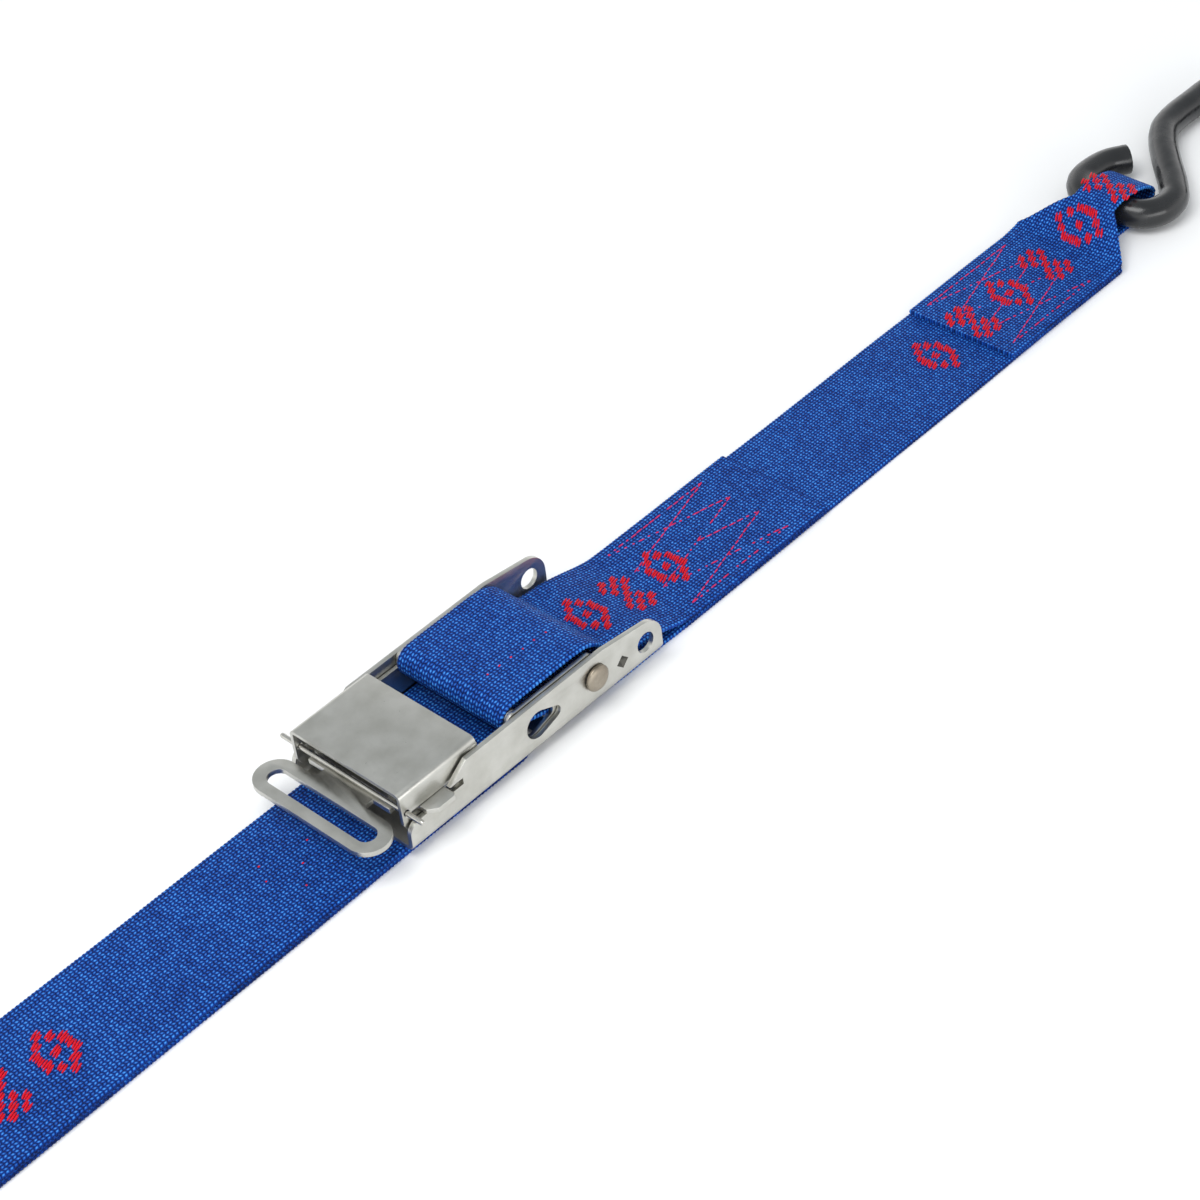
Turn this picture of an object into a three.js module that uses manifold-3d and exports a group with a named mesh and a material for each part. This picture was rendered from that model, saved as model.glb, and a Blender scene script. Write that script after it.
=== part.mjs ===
// Over-centre strap buckle tie-down with two coated end hooks.
// Millimetres, +Z up. X runs along the strap, from hook A (-X) to hook B (+X).
// The origin is under the middle of the laid-out strap, on the surface it lies on.

import * as THREE from 'three';
import { mergeVertices } from 'three/addons/utils/BufferGeometryUtils.js';
import Module from 'manifold-3d';

const wasm = await Module();
wasm.setup();

// ---------- driving dimensions ----------

const GAP = 0.3; // air left between two pieces that touch

// webbing
const WEB_WIDTH = 50;
const WEB_THICK = 1.6;
const LOOP_WIDTH = 49.2; // webbing squeezed a little where it passes between the handle walls

// buckle frame, a bent channel with a slotted floor
const FRAME_MOUTH_X = -52.6;
const FRAME_TIP_X = 68.3;
const FRAME_WIDTH = 57;
const FRAME_BASE_Z = 2 * WEB_THICK + 2 * GAP;
const FRAME_HEIGHT = 20.3;
const FRAME_PLATE = 1.8;
const FLOOR_END_X = 17.5;
const CROSSBAR_X = [-7, 3];
const FLOOR_SLOT_X = [-24.5, 10.5];
const FLOOR_SLOT_WIDTH = 51.6;
const MARK_X = 48.6;
const MARK_HEIGHT = 8.7;
const MARK_RADIUS = 2.8;
const MARK_DEPTH = 1.6;
const MARK_BUMP = 0.35; // how far the metal behind the mark stands up, clear of the handle

// pivot
const PIVOT_X = 35.5;
const PIVOT_Z = FRAME_BASE_Z + 11.5;
const RIVET_SHANK_R = 3.6;
const RIVET_HEAD_R = 5;
const RIVET_HEAD_HEIGHT = 2.2;

// handle, a bent channel whose top is the cover
const HANDLE_PLATE = 1.4;
const COVER_WIDTH = 52;
const EAR_WIDTH = FRAME_WIDTH - 2 * FRAME_PLATE - 2 * GAP;
const COVER_END_X = -17.9;
const COVER_TOP_Z = FRAME_BASE_Z + 23.5;
const BAR_X = -0.6;
const BAR_Z = FRAME_BASE_Z + 17.9;
const BAR_R = 3;
const TENON_R = 2;

// sliding latch
const LATCH_Z = FRAME_BASE_Z + 11.7;
const LATCH_PLATE = 2;
const LATCH_RING_X = -72.3;
const LATCH_RING_WIDTH = 59.7;
const LATCH_RING_DEPTH = 16;
const LATCH_SLOT = [49.6, 7.3];
const LATCH_NECK_WIDTH = 23;
const LATCH_TRAVEL_IN = 3.2;
const EAR_X = [-45, -33.8];
const EAR_REACH = FRAME_WIDTH / 2 + 3.1;
const SPRING_WIRE_R = 1;
const SPRING_LENGTH = 67.6;
const SPRING_X = -50.6;

// hooks
const HOOK_BAR_X = 366;
const HOOK_STEEL_R = 4.6;
const HOOK_COAT_R = 6;
const HOOK_BEND_R = 22;
const HOOK_BAR_Z = HOOK_COAT_R + WEB_THICK + GAP;
const HOOK_STEPS = 56;
const HOOK_SIDES = 10;
const HOOK_REACH = 112.6; // from the eye bar's middle to the middle of the bend
const HOOK_TIP_X = -HOOK_REACH + HOOK_BEND_R + 13.4;
const HOOK_TILT = Math.asin((HOOK_BAR_Z - HOOK_COAT_R - GAP) / HOOK_REACH);

// webbing route
const EYE_WEB_WIDTH = 21;
const EYE_NARROW_X = 357.5;
const EYE_WIDE_X = 342;
const TAIL_END_X = -232;
const FLAP_A_END_X = -254;
const FLAP_B_END_X = 160;
const FLAP_B_HOOK_END_X = 270;

// stitching
const STITCH_WIDTH = 41.2;
const STITCH_THREAD = 0.7;

// ---------- materials ----------

function finish(color, roughness, metalness) {
  return new THREE.MeshStandardMaterial({ color, roughness, metalness });
}

const stainless = () => finish('#b9b6ae', 0.32, 1.0);
const rivetSteel = () => finish('#aaa193', 0.4, 1.0);
const springWire = () => finish('#c4c2bc', 0.25, 1.0);
const hookSteel = () => finish('#6d6e70', 0.45, 1.0);
const vinyl = () => finish('#141518', 0.3, 0.0);
const webbing = () => finish('#1c46a8', 0.85, 0.0);
const thread = () => finish('#c01f45', 0.7, 0.0);

// ---------- solids ----------

function toManifold(geometry) {
  const bare = geometry.clone();
  bare.deleteAttribute('normal');
  bare.deleteAttribute('uv');
  const merged = mergeVertices(bare.index ? bare.toNonIndexed() : bare, 1e-4);
  return new wasm.Manifold(new wasm.Mesh({
    numProp: 3,
    vertProperties: new Float32Array(merged.attributes.position.array),
    triVerts: new Uint32Array(merged.index.array),
  }));
}

function toGeometry(solid) {
  const mesh = solid.getMesh();
  const geometry = new THREE.BufferGeometry();
  geometry.setAttribute('position', new THREE.BufferAttribute(mesh.vertProperties, 3));
  geometry.setIndex(new THREE.BufferAttribute(mesh.triVerts, 1));
  geometry.computeVertexNormals();
  return geometry;
}

function node(name, solid, material) {
  const mesh = new THREE.Mesh(toGeometry(solid), material);
  mesh.name = name;
  return mesh;
}

function box(x, y, z) {
  const geometry = new THREE.BoxGeometry(x[1] - x[0], y[1] - y[0], z[1] - z[0]);
  geometry.translate((x[0] + x[1]) / 2, (y[0] + y[1]) / 2, (z[0] + z[1]) / 2);
  return toManifold(geometry);
}

// a rod along Y between two Y values
function rodY(x, z, radius, y, sides = 24) {
  const geometry = new THREE.CylinderGeometry(radius, radius, y[1] - y[0], sides);
  geometry.translate(x, (y[0] + y[1]) / 2, z);
  return toManifold(geometry);
}

// a side-view outline (X, Z) given thickness along Y
function sideExtrusion(shape, y, curveSegments = 6) {
  const geometry = new THREE.ExtrudeGeometry(shape, {
    depth: y[1] - y[0], bevelEnabled: false, curveSegments,
  });
  geometry.rotateX(Math.PI / 2);
  geometry.translate(0, y[1], 0);
  return toManifold(geometry);
}

// a plan outline (X, Y) given thickness along Z
function planExtrusion(shape, z, curveSegments = 8) {
  const geometry = new THREE.ExtrudeGeometry(shape, {
    depth: z[1] - z[0], bevelEnabled: false, curveSegments,
  });
  geometry.translate(0, 0, z[0]);
  return toManifold(geometry);
}

// an end-view outline (Y, Z) given length along X
function endExtrusion(shape, x, curveSegments = 4) {
  const geometry = new THREE.ExtrudeGeometry(shape, {
    depth: x[1] - x[0], bevelEnabled: false, curveSegments,
  });
  geometry.rotateX(Math.PI / 2);
  geometry.rotateZ(Math.PI / 2);
  geometry.translate(x[0], 0, 0);
  return toManifold(geometry);
}

function outline(points) {
  return new THREE.Shape(points.map(([a, b]) => new THREE.Vector2(a, b)));
}

// a rectangle with round corners, centred on (cx, cy)
function roundedRect(cx, cy, width, height, radius) {
  const x = cx - width / 2;
  const y = cy - height / 2;
  const shape = new THREE.Shape();
  shape.moveTo(x + radius, y);
  shape.lineTo(x + width - radius, y);
  shape.absarc(x + width - radius, y + radius, radius, -Math.PI / 2, 0);
  shape.lineTo(x + width, y + height - radius);
  shape.absarc(x + width - radius, y + height - radius, radius, 0, Math.PI / 2);
  shape.lineTo(x + radius, y + height);
  shape.absarc(x + radius, y + height - radius, radius, Math.PI / 2, Math.PI);
  shape.lineTo(x, y + radius);
  shape.absarc(x + radius, y + radius, radius, Math.PI, 1.5 * Math.PI);
  return shape;
}

// an open channel section (Y, Z): a floor or roof with two walls and bent corners
function channelSection(width, height, plate, bendRadius) {
  const half = width / 2;
  const inner = half - plate;
  const innerBend = bendRadius - plate;
  const shape = new THREE.Shape();
  shape.moveTo(-half, height);
  shape.lineTo(-half, bendRadius);
  shape.absarc(-half + bendRadius, bendRadius, bendRadius, Math.PI, 1.5 * Math.PI);
  shape.lineTo(half - bendRadius, 0);
  shape.absarc(half - bendRadius, bendRadius, bendRadius, -Math.PI / 2, 0);
  shape.lineTo(half, height);
  shape.lineTo(inner, height);
  shape.lineTo(inner, bendRadius);
  shape.absarc(inner - innerBend, bendRadius, innerBend, 0, -Math.PI / 2, true);
  shape.lineTo(-inner + innerBend, plate);
  shape.absarc(-inner + innerBend, bendRadius, innerBend, -Math.PI / 2, -Math.PI, true);
  shape.lineTo(-inner, height);
  return shape;
}

// ---------- webbing ----------

// a smooth route through side-view points (X, Z), sampled to a polyline
function smoothRoute(points, steps) {
  const curve = new THREE.CatmullRomCurve3(
    points.map(([x, z]) => new THREE.Vector3(x, z, 0)), false, 'centripetal');
  return curve.getPoints(steps).map((p) => [p.x, Math.max(p.y, TABLE_Z)]);
}

// the outline of a ribbon of one thickness that follows a side-view route
function ribbonOutline(route, thickness) {
  const left = [];
  const right = [];
  route.forEach(([x, z], i) => {
    const before = route[Math.max(i - 1, 0)];
    const after = route[Math.min(i + 1, route.length - 1)];
    const dx = after[0] - before[0];
    const dz = after[1] - before[1];
    const length = Math.hypot(dx, dz);
    const nx = (-dz / length) * (thickness / 2);
    const nz = (dx / length) * (thickness / 2);
    left.push([x + nx, z + nz]);
    right.push([x - nx, z - nz]);
  });
  return outline([...left, ...right.reverse()]);
}

function ribbon(route, width) {
  return sideExtrusion(ribbonOutline(route, WEB_THICK), [-width / 2, width / 2]);
}

const TABLE_Z = WEB_THICK / 2;
const SECOND_Z = TABLE_Z + WEB_THICK + GAP;
const OVER_CROSSBAR_Z = FRAME_BASE_Z + FRAME_PLATE + GAP + 0.2 + WEB_THICK / 2;

// the sewn loop round a hook's eye bar, from the flap to the lower layer; the eye is on -X
const eyeLoop = [
  [-330, SECOND_Z],
  [-340, 4.6],
  [-352, 12.6],
  [-361, 15.6],
  [-370, 15.3],
  [-379, 12.4],
  [-383.6, 7.9],
  [-380, 3.0],
  [-371, TABLE_Z],
];

const strapARoute = [
  [FLAP_A_END_X, SECOND_Z],
  ...smoothRoute(eyeLoop, 26),
  [-246, TABLE_Z],
  ...smoothRoute([[-242, TABLE_Z], [-239, 1.4], [-236, 2.3], [-232, SECOND_Z]], 6),
  ...smoothRoute([
    [-19, SECOND_Z],
    [-13.6, 3.9],
    [-10.8, 6.2],
    [-7, OVER_CROSSBAR_Z - 0.1],
    [-2, OVER_CROSSBAR_Z],
    [3, OVER_CROSSBAR_Z - 0.1],
    [5.6, 5.6],
    [5.8, 3.2],
    [2.4, TABLE_Z + 0.15],
    [-2, TABLE_Z],
  ], 28),
  [TAIL_END_X, TABLE_Z],
];

const strapBRoute = [
  [FLAP_B_END_X, SECOND_Z],
  ...smoothRoute([
    [92, SECOND_Z],
    [86, 3.0],
    [80, 4.4],
    [72, 6.8],
    [64, 8.6],
    [57, 9.4],
    [52, 10.2],
    [48.6, 13.2],
    [45.6, 17.6],
    [42.2, 22.2],
    [38, 25.2],
    [32, 26.3],
    [20, 26.5],
    [4, 26.5],
    [-1.4, 26],
    [-4.4, 23.2],
    [-4.5, 19.4],
    [-0.6, 16.7],
    [9, 13.9],
    [28, 8],
    [38, 3.8],
    [46, 1.4],
    [53, TABLE_Z],
  ], 64),
];

const strapBHookRoute = [
  ...eyeLoop.map(([x, z]) => [-x, z]).reverse(),
];

const strapBFullRoute = [
  ...strapBRoute,
  ...smoothRoute(strapBHookRoute, 26),
  [FLAP_B_HOOK_END_X, SECOND_Z],
];

// the plan shape that leaves the webbing narrow inside an eye; direction is the eye's side
function eyeTaper(direction) {
  const far = direction * 420;
  const narrow = direction * EYE_NARROW_X;
  const wide = direction * EYE_WIDE_X;
  const inner = direction * 200;
  const half = WEB_WIDTH / 2;
  const neck = EYE_WEB_WIDTH / 2;
  const points = [
    [far, neck], [narrow, neck], [wide, half], [inner, half],
    [inner, -half], [wide, -half], [narrow, -neck], [far, -neck],
  ];
  return planExtrusion(outline(direction > 0 ? points.reverse() : points), [-1, 40]);
}

function strapA() {
  const full = ribbon(strapARoute, WEB_WIDTH);
  const body = full.intersect(box([-210, 20], [-30, 30], [-1, 40]));
  const hookEnd = full.intersect(eyeTaper(-1));
  return body.add(hookEnd);
}

function strapB() {
  const half = WEB_WIDTH / 2;
  const loopHalf = LOOP_WIDTH / 2;
  const full = ribbon(strapBFullRoute, WEB_WIDTH);
  const loopPlan = outline([
    [-10, -loopHalf], [72, -loopHalf], [84, -half], [210, -half],
    [210, half], [84, half], [72, loopHalf], [-10, loopHalf],
  ]);
  const loopEnd = full.intersect(planExtrusion(loopPlan, [-1, 40]));
  return loopEnd.add(full.intersect(eyeTaper(1)));
}

// ---------- stitching ----------

// a stroke of one width along a plan polyline, with mitred corners
function strokeOutline(points, width) {
  const left = [];
  const right = [];
  points.forEach((point, i) => {
    const before = points[Math.max(i - 1, 0)];
    const after = points[Math.min(i + 1, points.length - 1)];
    const a = new THREE.Vector2(point[0] - before[0], point[1] - before[1]);
    const b = new THREE.Vector2(after[0] - point[0], after[1] - point[1]);
    const dirA = (a.length() > 0 ? a : b).clone().normalize();
    const dirB = (b.length() > 0 ? b : a).clone().normalize();
    const mid = dirA.clone().add(dirB).normalize();
    const scale = width / 2 / Math.max(Math.abs(mid.dot(dirA)), 0.2);
    left.push([point[0] - mid.y * scale, point[1] + mid.x * scale]);
    right.push([point[0] + mid.y * scale, point[1] - mid.x * scale]);
  });
  return outline([...left, ...right.reverse()]);
}

// a box of thread between two X values: two zigzags that cross, and two side lines
function stitchBox(x, z) {
  const half = STITCH_WIDTH / 2;
  const rows = [half, half / 3, -half / 3, -half];
  const lines = [
    rows.map((y, i) => [i % 2 ? x[0] : x[1], y]),
    rows.map((y, i) => [i % 2 ? x[1] : x[0], y]),
    [[x[0], half], [x[1], half]],
    [[x[0], -half], [x[1], -half]],
  ];
  return lines
    .map((points) => planExtrusion(strokeOutline(points, STITCH_THREAD), z))
    .reduce((all, line) => all.add(line));
}

function hemLine(x, z) {
  const half = STITCH_WIDTH / 2;
  return box([x - STITCH_THREAD / 2, x + STITCH_THREAD / 2], [-half, half], z);
}

// ---------- frame ----------

function framePlateOutline() {
  const mouth = FRAME_MOUTH_X;
  const base = FRAME_BASE_Z;
  const top = base + FRAME_HEIGHT;
  const notchFloor = base + 11.4;
  const tipR = 9;
  const tipCentre = [FRAME_TIP_X - tipR, base + 8.4];
  const footR = 3;
  const shape = new THREE.Shape();
  shape.moveTo(mouth, base);
  shape.lineTo(FRAME_TIP_X - footR, base);
  shape.absarc(FRAME_TIP_X - footR, base + footR, footR, -Math.PI / 2, 0);
  shape.lineTo(FRAME_TIP_X, tipCentre[1]);
  shape.absarc(tipCentre[0], tipCentre[1], tipR, 0, 0.45 * Math.PI);
  shape.lineTo(40, top);
  shape.lineTo(-25, top);
  shape.lineTo(-33.4, base + 14);
  shape.lineTo(-27.6, base + 14);
  shape.lineTo(-27.6, notchFloor);
  shape.lineTo(mouth + 5, notchFloor);
  shape.absarc(mouth + 5, notchFloor - 5, 5, Math.PI / 2, Math.PI);
  return shape;
}

// a teardrop window through a side plate
function teardrop(offsetX, grow) {
  const shape = new THREE.Shape();
  const base = FRAME_BASE_Z;
  const big = { x: 7.6 + offsetX, z: base + 10.9, r: 5.4 + grow };
  const small = { x: 15.6 + offsetX, z: base + 10.4, r: 2.6 + grow };
  const lean = Math.acos((big.r - small.r) / Math.hypot(small.x - big.x, small.z - big.z));
  shape.absarc(big.x, big.z, big.r, lean, 2 * Math.PI - lean);
  shape.absarc(small.x, small.z, small.r, -lean, lean);
  return shape;
}

function frameChannel() {
  const section = channelSection(FRAME_WIDTH, 60, FRAME_PLATE, 3);
  const side = [-40, 40];
  const half = FRAME_WIDTH / 2;
  let solid = endExtrusion(section, [FRAME_MOUTH_X - 1, FRAME_TIP_X + 1]);
  solid = solid.translate(0, 0, FRAME_BASE_Z);
  solid = solid.intersect(sideExtrusion(framePlateOutline(), side, 8));
  const slotY = [-FLOOR_SLOT_WIDTH / 2, FLOOR_SLOT_WIDTH / 2];
  const floorZ = [FRAME_BASE_Z - 1, FRAME_BASE_Z + FRAME_PLATE + 1.2];
  solid = solid.subtract(box([FLOOR_SLOT_X[0], CROSSBAR_X[0]], slotY, floorZ));
  solid = solid.subtract(box([CROSSBAR_X[1], FLOOR_SLOT_X[1]], slotY, floorZ));
  const openY = half - FRAME_PLATE;
  solid = solid.subtract(box([FLOOR_END_X, 80], [-openY, openY], floorZ));
  solid = solid.subtract(sideExtrusion(teardrop(0, 0), side, 8));
  solid = solid.subtract(rodY(60.2, FRAME_BASE_Z + 9, 4, side));
  solid = solid.subtract(rodY(PIVOT_X, PIVOT_Z, RIVET_SHANK_R + GAP, side));
  for (const way of [-1, 1]) {
    solid = solid.subtract(dimple(way, half, MARK_RADIUS, MARK_DEPTH));
    solid = solid.add(dimple(way, half - FRAME_PLATE + 0.1, MARK_RADIUS - 0.4, MARK_BUMP));
  }
  return solid;
}

// a four-sided punch mark that goes inward from a plane on one side
function dimple(way, planeY, radius, depth) {
  const geometry = new THREE.ConeGeometry(radius, depth, 4);
  geometry.rotateX(way > 0 ? Math.PI : 0);
  geometry.translate(MARK_X, way * (planeY - depth / 2), FRAME_BASE_Z + MARK_HEIGHT);
  return toManifold(geometry);
}

function rivet(way) {
  const half = FRAME_WIDTH / 2;
  const innerFace = EAR_WIDTH / 2 - HANDLE_PLATE;
  const shankY = [innerFace + 0.1, half + GAP];
  const shank = way > 0 ? shankY : [-shankY[1], -shankY[0]];
  const profile = [
    [0, 0], [RIVET_HEAD_R, 0], [RIVET_HEAD_R, 1.1], [RIVET_HEAD_R - 1, RIVET_HEAD_HEIGHT - 0.3],
    [RIVET_HEAD_R - 2.2, RIVET_HEAD_HEIGHT], [0, RIVET_HEAD_HEIGHT],
  ].map(([r, h]) => new THREE.Vector2(r, h));
  const head = new THREE.LatheGeometry(profile, 24);
  if (way < 0) {
    head.rotateX(Math.PI);
  }
  head.translate(PIVOT_X, way * (half + GAP), PIVOT_Z);
  return rodY(PIVOT_X, PIVOT_Z, RIVET_SHANK_R, shank).add(toManifold(head));
}

// ---------- handle ----------

// one handle wall's side view: low behind the cover, tall from the bar to the pivot
function handleWallOutline() {
  const base = FRAME_BASE_Z;
  const under = base + 7.6;
  const pivotFoot = 6.6;
  const shape = new THREE.Shape();
  shape.moveTo(FRAME_MOUTH_X + 1.5, under);
  shape.lineTo(-24, under);
  shape.lineTo(-18, base + 4.6);
  shape.lineTo(PIVOT_X - 6, base + 4.6);
  shape.absarc(PIVOT_X, PIVOT_Z, pivotFoot, -0.62 * Math.PI, 0);
  shape.lineTo(PIVOT_X + pivotFoot, PIVOT_Z + 3);
  shape.lineTo(PIVOT_X, base + 20.8);
  shape.lineTo(BAR_X, base + 20.8);
  shape.absarc(BAR_X, BAR_Z, 3.3, Math.PI / 2, Math.PI);
  shape.lineTo(BAR_X - 3.3, base + 16);
  shape.lineTo(COVER_END_X, base + 16);
  shape.lineTo(COVER_END_X, COVER_TOP_Z);
  shape.lineTo(FRAME_MOUTH_X, COVER_TOP_Z);
  shape.lineTo(FRAME_MOUTH_X, under + 3);
  return shape;
}

function handleCover() {
  const section = channelSection(COVER_WIDTH, 60, HANDLE_PLATE, 2.2);
  let cover = endExtrusion(section, [FRAME_MOUTH_X, -22]);
  cover = cover.rotate(180, 0, 0).translate(0, 0, COVER_TOP_Z);
  const roof = endExtrusion(section, [-22.1, COVER_END_X]);
  cover = cover.add(roof.rotate(180, 0, 0).translate(0, 0, COVER_TOP_Z));
  const earHalf = EAR_WIDTH / 2;
  const coverHalf = COVER_WIDTH / 2;
  for (const way of [-1, 1]) {
    const wallPlan = [
      [-26, coverHalf], [-24, coverHalf], [-19, earHalf], [60, earHalf],
      [60, earHalf - HANDLE_PLATE], [-18.6, earHalf - HANDLE_PLATE],
      [-23.6, coverHalf - HANDLE_PLATE], [-26, coverHalf - HANDLE_PLATE],
    ].map(([x, y]) => [x, way * y]);
    const plan = outline(way > 0 ? wallPlan.reverse() : wallPlan);
    cover = cover.add(planExtrusion(plan, [0, COVER_TOP_Z - 2.2]));
  }
  cover = cover.intersect(sideExtrusion(handleWallOutline(), [-40, 40], 6));
  const side = [-40, 40];
  // slots for the latch's ears and the spring wire
  const slotZ = [LATCH_Z - GAP, LATCH_Z + LATCH_PLATE + GAP];
  cover = cover.subtract(box([EAR_X[0] - 4, EAR_X[1] + LATCH_TRAVEL_IN + 0.6], side, slotZ));
  cover = cover.subtract(rodY(SPRING_X, springZ, SPRING_WIRE_R + GAP, side, 12));
  cover = cover.subtract(rodY(BAR_X, BAR_Z, TENON_R + GAP, side, 16));
  cover = cover.subtract(rodY(PIVOT_X, PIVOT_Z, RIVET_SHANK_R + GAP, side, 24));
  cover = cover.subtract(sideExtrusion(teardrop(-1.2, -0.4), side, 8));
  return cover;
}

function handleBar() {
  const inner = EAR_WIDTH / 2 - HANDLE_PLATE - GAP;
  const outer = EAR_WIDTH / 2;
  return rodY(BAR_X, BAR_Z, BAR_R, [-inner, inner], 20)
    .add(rodY(BAR_X, BAR_Z, TENON_R, [-outer, outer], 16));
}

// ---------- latch ----------

const springZ = LATCH_Z + LATCH_PLATE + GAP + SPRING_WIRE_R;

function latchSlide() {
  const z = [LATCH_Z, LATCH_Z + LATCH_PLATE];
  const inside = COVER_WIDTH / 2 - HANDLE_PLATE - GAP;
  const ringX = LATCH_RING_X + LATCH_RING_DEPTH / 2;
  const ring = roundedRect(ringX, 0, LATCH_RING_DEPTH, LATCH_RING_WIDTH, LATCH_RING_DEPTH / 2 - 0.01);
  const slotWide = LATCH_SLOT[1];
  const slot = roundedRect(ringX, 0, slotWide, LATCH_SLOT[0], slotWide / 2 - 0.01);
  let solid = planExtrusion(ring, z, 10);
  const neckHalf = LATCH_NECK_WIDTH / 2;
  const flare = 3;
  const ringInner = LATCH_RING_X + LATCH_RING_DEPTH;
  const neck = outline([
    [ringInner - 2, -neckHalf - flare], [ringInner + 1, -neckHalf], [-50, -neckHalf],
    [-50, neckHalf], [ringInner + 1, neckHalf], [ringInner - 2, neckHalf + flare],
  ]);
  solid = solid.add(planExtrusion(neck, z));
  solid = solid.add(box([-52.2, EAR_X[1] + 1.2], [-inside + 5, inside - 5], z));
  solid = solid.add(box([-49, EAR_X[1]], [-inside, inside], z));
  for (const way of [-1, 1]) {
    const ear = [
      [EAR_X[0], 18], [EAR_X[0], EAR_REACH - 2.5], [EAR_X[0] + 3.2, EAR_REACH],
      [EAR_X[1] - 0.8, EAR_REACH], [EAR_X[1], EAR_REACH - 0.8], [EAR_X[1], 18],
    ].map(([x, y]) => [x, way * y]);
    solid = solid.add(planExtrusion(outline(way > 0 ? ear.reverse() : ear), z));
    // a small turned-up tab that the spring wire bears on
    const tabY = [16, 19].map((y) => way * y).sort((a, b) => a - b);
    const tabX = SPRING_X + SPRING_WIRE_R + GAP;
    solid = solid.add(box([tabX, tabX + 1.4], tabY, [LATCH_Z + 0.5, springZ + 0.9]));
  }
  return solid.subtract(planExtrusion(slot, [0, 60], 10));
}

function latchSpring() {
  const half = SPRING_LENGTH / 2;
  return rodY(SPRING_X, springZ, SPRING_WIRE_R, [-half, half], 10);
}

// ---------- hooks ----------

// the bent wire's centre line, with the eye bar's middle at the origin and the bend on -X
function hookPath() {
  const points = [
    [-31.0, -13.1], [-24, -17.6], [-16, -19.1], [-8, -18.6], [-2.2, -14.4], [0, -7],
    [0, 7], [-2.2, 14.4], [-8, 18.6], [-17, 18.6], [-25, 13.2], [-37, 2.0], [-48, -7.6],
    [-58, -13.8], [-68, -15.6], [-80, -15.6],
  ];
  const bendX = -HOOK_REACH + HOOK_BEND_R;
  const bendY = -15.6 + HOOK_BEND_R;
  const bendSteps = 10;
  for (let i = 0; i <= bendSteps; i += 1) {
    const angle = -Math.PI / 2 - (i * Math.PI) / bendSteps;
    points.push([bendX + HOOK_BEND_R * Math.cos(angle), bendY + HOOK_BEND_R * Math.sin(angle)]);
  }
  points.push([bendX + 9, bendY + HOOK_BEND_R]);
  points.push([HOOK_TIP_X, bendY + HOOK_BEND_R]);
  return new THREE.CatmullRomCurve3(
    points.map(([x, y]) => new THREE.Vector3(x, y, 0)), false, 'centripetal');
}

function sweep(path, radius, steps, sides) {
  const shape = new THREE.Shape();
  for (let i = 0; i < sides; i += 1) {
    const angle = (2 * Math.PI * (i + 0.5)) / sides;
    const x = radius * Math.cos(angle);
    const y = radius * Math.sin(angle);
    if (i === 0) {
      shape.moveTo(x, y);
    } else {
      shape.lineTo(x, y);
    }
  }
  const geometry = new THREE.ExtrudeGeometry(shape, {
    steps, extrudePath: path, bevelEnabled: false,
  });
  return toManifold(geometry);
}

function ball(path, radius) {
  const end = path.getPoint(1);
  const geometry = new THREE.SphereGeometry(radius, 10, 8);
  geometry.rotateX(Math.PI / 2);
  geometry.translate(end.x, end.y, end.z);
  return toManifold(geometry);
}

// the drawn end of the wire, run on a little past the coating's open end
function openEnd(path, radius) {
  const start = path.getPoint(0);
  const out = path.getTangent(0).multiplyScalar(-1.5);
  return sweep(new THREE.LineCurve3(start.clone().add(out), start), radius, 1, 10);
}

function hook(letter, direction) {
  const path = hookPath();
  const bore = sweep(path, HOOK_STEEL_R + GAP, HOOK_STEPS, HOOK_SIDES);
  const coat = sweep(path, HOOK_COAT_R, HOOK_STEPS, HOOK_SIDES)
    .add(ball(path, HOOK_COAT_R))
    .subtract(bore)
    .subtract(openEnd(path, HOOK_STEEL_R + GAP));
  const steel = sweep(path, HOOK_STEEL_R, HOOK_STEPS, HOOK_SIDES)
    .subtract(box([HOOK_TIP_X - 0.5, HOOK_TIP_X + 5], [0, 60], [-10, 10]));
  const placed = new THREE.Group();
  placed.add(node(`hook_${letter}_steel`, steel, hookSteel()));
  placed.add(node(`hook_${letter}_coating`, coat, vinyl()));
  placed.position.set(-HOOK_BAR_X, 0, HOOK_BAR_Z);
  placed.rotation.y = -HOOK_TILT;
  const turned = new THREE.Group();
  turned.rotation.z = direction > 0 ? Math.PI : 0;
  turned.add(placed);
  return turned;
}

// ---------- assembly ----------

const tieDown = new THREE.Group();
const overFlap = SECOND_Z + WEB_THICK / 2;
const threadZ = [overFlap + 0.05, overFlap + 0.45];
const hemX = TAIL_END_X + 6;
const hemZ = [WEB_THICK + 0.05, WEB_THICK + 0.2];

tieDown.add(node('frame_channel', frameChannel(), stainless()));
tieDown.add(node('pivot_rivet_left', rivet(1), rivetSteel()));
tieDown.add(node('pivot_rivet_right', rivet(-1), rivetSteel()));
tieDown.add(node('handle_cover', handleCover(), stainless()));
tieDown.add(node('handle_bar', handleBar(), stainless()));
tieDown.add(node('latch_slide', latchSlide(), stainless()));
tieDown.add(node('latch_spring', latchSpring(), springWire()));
tieDown.add(node('strap_a', strapA(), webbing()));
tieDown.add(node('strap_b', strapB(), webbing()));
tieDown.add(node('stitch_hook_a', stitchBox([-316, -262], threadZ), thread()));
tieDown.add(node('stitch_hook_b', stitchBox([276, 326], threadZ), thread()));
tieDown.add(node('stitch_handle_loop', stitchBox([92, 144], threadZ), thread()));
tieDown.add(node('stitch_tail_hem', hemLine(hemX, hemZ), thread()));
tieDown.add(hook('a', -1));
tieDown.add(hook('b', 1));

export default tieDown;
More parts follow.
